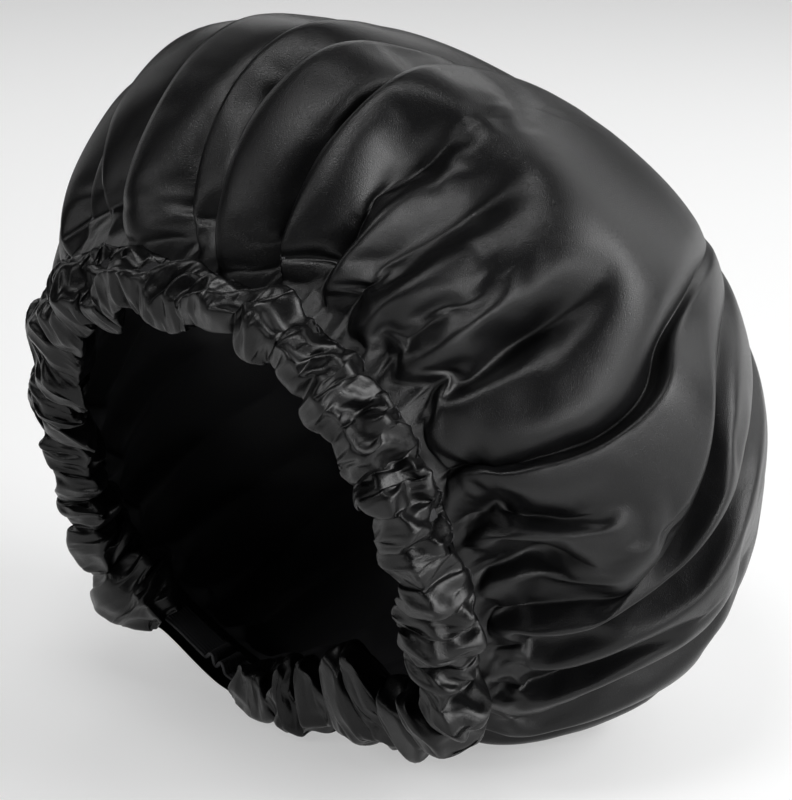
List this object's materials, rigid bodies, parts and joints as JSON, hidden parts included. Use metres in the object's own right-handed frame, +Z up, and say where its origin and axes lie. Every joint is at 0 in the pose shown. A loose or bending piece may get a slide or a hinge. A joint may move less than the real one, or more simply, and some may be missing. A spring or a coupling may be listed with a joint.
{
  "type": "sleep bonnet",
  "caption": "Puffy gathered satin bonnet lying on its side, open at a ruched casing with a ribbed elastic inside it.",
  "frame": {"origin": "centre of the base of the bounding box, on the surface that the bonnet lies on", "axes": "+Z up; the opening faces -Y and 22 degrees down, the back of the crown is towards +Y"},
  "size_m": [0.2506, 0.2215, 0.2293],
  "materials": {
    "satin": "satin",
    "elastic": "matt"
  },
  "bodies": {
    "root": {"crown": "satin", "band": "satin", "elastic": "elastic"}
  },
  "joints": []
}
